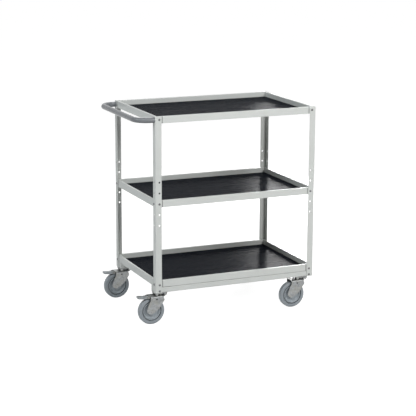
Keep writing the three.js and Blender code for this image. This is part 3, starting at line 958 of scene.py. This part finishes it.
@dataclass
class Castor:
    """A castor's finishes, and the round pieces that stand for its coarser CAD nodes.

    The hub's profiles are (radius, distance from the middle plane) pairs, from the axle outwards.
    """

    nodes: dict[str, bpy.types.Object]
    corner: Corner
    round_steps: int = 96
    tyre_bore: float = 46 * MM
    tread_half: float = 13 * MM
    shoulder: float = 5 * MM
    shoulder_steps: int = 8
    groove_depth: float = 5.5 * MM
    groove_wall: float = 0.8 * MM
    edge_width: float = 2.4 * MM
    edge_drop: float = 1.6 * MM
    boss: Profile = field(default_factory=lambda: in_mm((8.3, 16.4), (17.0, 16.4), (18.2, 15.4), (19.0, 9.0)))
    web: Profile = field(default_factory=lambda: in_mm((21.0, 5.6), (25.0, 4.6), (33.0, 5.6)))
    lip: Profile = field(default_factory=lambda: in_mm((37.0, 9.0), (39.0, 11.6), (41.0, 11.9), (42.2, 10.6)))
    tyre_seat: Profile = field(default_factory=lambda: in_mm((42.6, 7.0), (45.7, 7.0)))

    def build(self) -> None:
        """Dresses the CAD nodes and builds the wheel."""
        for part in ("top_plate", "king_pin", "fork", "axle_spacer", "axle", "lower_race"):
            dress(self._node(part), PLATED_STEEL)
        self._tyre()
        self._hub()
        if self.corner.braked:
            dress(self._node("brake_pedal"), PEDAL_STEEL)
            dress(self._node("pedal_pin"), PLATED_STEEL)
            dress(self._node("brake_shoe"), SHOE_RUBBER)

    def _node(self, part: str) -> bpy.types.Object:
        """The CAD node of a part of this castor."""
        return self.nodes[f"{part}_{self.corner.place}"]

    def _axle_place(self) -> Matrix:
        """The transform to the middle of the axle."""
        low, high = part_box(f"tyre_{self.corner.place}")
        return Matrix.Translation((low + high) / 2)

    def _tyre(self) -> None:
        """The tyre: a groove beside the hub, flat sides, round shoulders and a flat tread."""
        low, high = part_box(f"tyre_{self.corner.place}")
        outside = (high.z - low.z) / 2
        bend = (outside - self.shoulder, self.tread_half - self.shoulder)
        half = [
            (self.tyre_bore, self.tread_half - self.groove_depth),
            (self.tyre_bore + self.groove_wall, self.tread_half - self.edge_drop),
            (self.tyre_bore + self.edge_width, self.tread_half),
            *reversed(arc(bend, self.shoulder, 0.0, 90.0, self.shoulder_steps)),
        ]
        shape = Shape.turned(both_sides(half), self.round_steps, closed=True)
        place = self.corner.place
        shape.moved(self._axle_place()).piece(f"round_tyre_{place}", TYRE_RUBBER, f"wheel_{place}",
                                              (f"tyre_{place}",))

    def _hub(self) -> None:
        """The wheel's centre: a lip against the tyre, a web that dishes in, and a boss on the axle."""
        half = self.boss + self.web + self.lip + self.tyre_seat
        shape = Shape.turned(both_sides(half), self.round_steps, closed=True)
        place = self.corner.place
        shape.moved(self._axle_place()).piece(f"dished_hub_{place}", HUB_PLASTIC, f"wheel_{place}",
                                              (f"wheel_hub_{place}",))


# ------------------------------------------------------------------------ studio


@dataclass(frozen=True)
class SoftBox:
    """A square lamp, hidden from the camera, that faces the cart."""

    name: str
    place: tuple[float, float, float]
    size: float
    power: float
    color: Color = (1.0, 1.0, 1.0)

    def build(self, aim: Vector) -> None:
        """Hangs the lamp.

        Args:
            aim: The point that it faces.
        """
        data = bpy.data.lights.new(self.name, "AREA")
        data.shape = "SQUARE"
        data.size = self.size
        data.energy = self.power
        data.color = self.color
        lamp = bpy.data.objects.new(self.name, data)
        lamp.location = self.place
        lamp.rotation_euler = (aim - Vector(self.place)).to_track_quat("-Z", "Y").to_euler()
        lamp.visible_camera = False
        bpy.context.scene.collection.objects.link(lamp)


@dataclass
class Studio:
    """The camera at the photograph's viewpoint, the lamps, the floor and the white surroundings.

    Angles are in degrees, the lens in millimetres and the rest in metres and watts. The floor's
    glow is what it gives off by itself near the cart, where 1 is white. What the lamps add on its
    shadow colour makes it white, except where the cart shades it.
    """

    camera_place: tuple[float, float, float] = (-2.6769, -6.2015, 2.0088)
    heading: float = 23.477
    tilt: float = 12.863
    roll: float = 0.273
    lens: float = 124.989
    view_reach: float = 200.0
    floor_radius: float = 60.0
    floor_steps: int = 64
    floor_color: Color = (0.75, 0.75, 0.75)
    shadow_color: Color = (0.3, 0.3, 0.3)
    floor_glow: float = 0.93
    shadow_reach: float = 1.4
    aim: tuple[float, float, float] = (0.0, 0.0, 0.5)
    lamps: tuple[SoftBox, ...] = field(default_factory=lambda: (
        SoftBox("front", (0.0, -3.2, 3.4), 1.4, 30.0),
        SoftBox("key", (1.6, -3.6, 2.4), 1.2, 74.0),
        SoftBox("front_left", (-2.2, -2.4, 3.2), 1.6, 44.0, (0.95, 0.98, 1.0)),
        SoftBox("left", (-3.4, -0.6, 2.8), 1.8, 41.0, (0.92, 0.97, 1.0)),
        SoftBox("low_rear", (1.95, 2.4, 0.85), 1.0, 55.0),
        SoftBox("rear", (0.6, 2.6, 3.6), 1.6, 40.0),
    ))

    def build(self) -> None:
        """Sets the scene that the cart stands in."""
        self._camera()
        self._floor()
        self._surroundings()
        for lamp in self.lamps:
            lamp.build(Vector(self.aim))
        bpy.context.scene.view_settings.view_transform = "Standard"

    def _camera(self) -> None:
        """Places the camera. Its heading turns from +Y towards +X, and its tilt is below level."""
        data = bpy.data.cameras.new("camera")
        data.lens = self.lens
        data.clip_end = self.view_reach
        camera = bpy.data.objects.new("camera", data)
        turn = Matrix.Rotation(-math.radians(self.heading), 4, "Z")
        dip = Matrix.Rotation(math.pi / 2 - math.radians(self.tilt), 4, "X")
        lean = Matrix.Rotation(math.radians(self.roll), 4, "Z")
        camera.matrix_world = Matrix.Translation(self.camera_place) @ turn @ dip @ lean
        bpy.context.scene.collection.objects.link(camera)
        bpy.context.scene.camera = camera

    @staticmethod
    def _seen(graph: Graph) -> Socket:
        """A mask for the rays by which a thing is seen.

        Args:
            graph: The graph to build in.

        Returns:
            1 on rays from the camera, a glossy surface or glass, and 0 on the rest.
        """
        path = "ShaderNodeLightPath"
        seen = graph.node(path, output="Is Camera Ray") + graph.node(path, output="Is Glossy Ray")
        return (seen + graph.node(path, output="Is Transmission Ray")).above(edge=0.5, softness=0.01)

    def _floor(self) -> None:
        """A round pale floor that is seen as white, and keeps a faint shadow."""
        mesh = bmesh.new()
        bmesh.ops.create_circle(mesh, cap_ends=True, segments=self.floor_steps, radius=self.floor_radius)
        data = bpy.data.meshes.new("floor")
        mesh.to_mesh(data)
        mesh.free()
        material = bpy.data.materials.new("pale_floor")
        material.use_nodes = True
        graph = Graph(material.node_tree)
        pale = graph.node("ShaderNodeBsdfDiffuse", {}, {"Color": (*self.floor_color, 1.0)})
        lit = graph.node("ShaderNodeBsdfDiffuse", {}, {"Color": (*self.shadow_color, 1.0)})
        away = graph.node("ShaderNodeVectorMath", {"operation": "LENGTH"}, {0: graph.place()}, output="Value")
        clear = away.above(self.shadow_reach, self.shadow_reach / 2)
        strength = self.floor_glow + (1 - self.floor_glow) * clear
        glow = graph.node("ShaderNodeEmission", {}, {"Color": WHITE, "Strength": strength})
        white = graph.node("ShaderNodeAddShader", {}, {0: lit, 1: glow})
        mixed = graph.node("ShaderNodeMixShader", {}, {0: self._seen(graph), 1: pale, 2: white})
        graph.node("ShaderNodeOutputMaterial", {}, {"Surface": mixed})
        data.materials.append(material)
        floor = bpy.data.objects.new("floor", data)
        bpy.context.scene.collection.objects.link(floor)

    def _surroundings(self) -> None:
        """White where it is seen, itself or in a reflection, and dark to every other ray."""
        world = bpy.data.worlds.new("surroundings")
        world.use_nodes = True
        bpy.context.scene.world = world
        graph = Graph(world.node_tree)
        inputs = {"Color": WHITE, "Strength": self._seen(graph)}
        surface = graph.node("ShaderNodeBackground", {}, inputs)
        graph.node("ShaderNodeOutputWorld", {}, {"Surface": surface})


# -------------------------------------------------------------------------- main


def main() -> None:
    """Loads the frame, dresses the cart and sets up the studio."""
    logging.basicConfig(level=logging.INFO, format="%(name)s: %(message)s")
    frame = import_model()
    nodes = frame["nodes"]
    Studio().build()
    Frame(nodes).build()
    for level in Level:
        RibbedMat(level).build()
    PushHandle().build()
    for corner in Corner:
        Castor(nodes, corner).build()


if __name__ == "__main__":
    main()
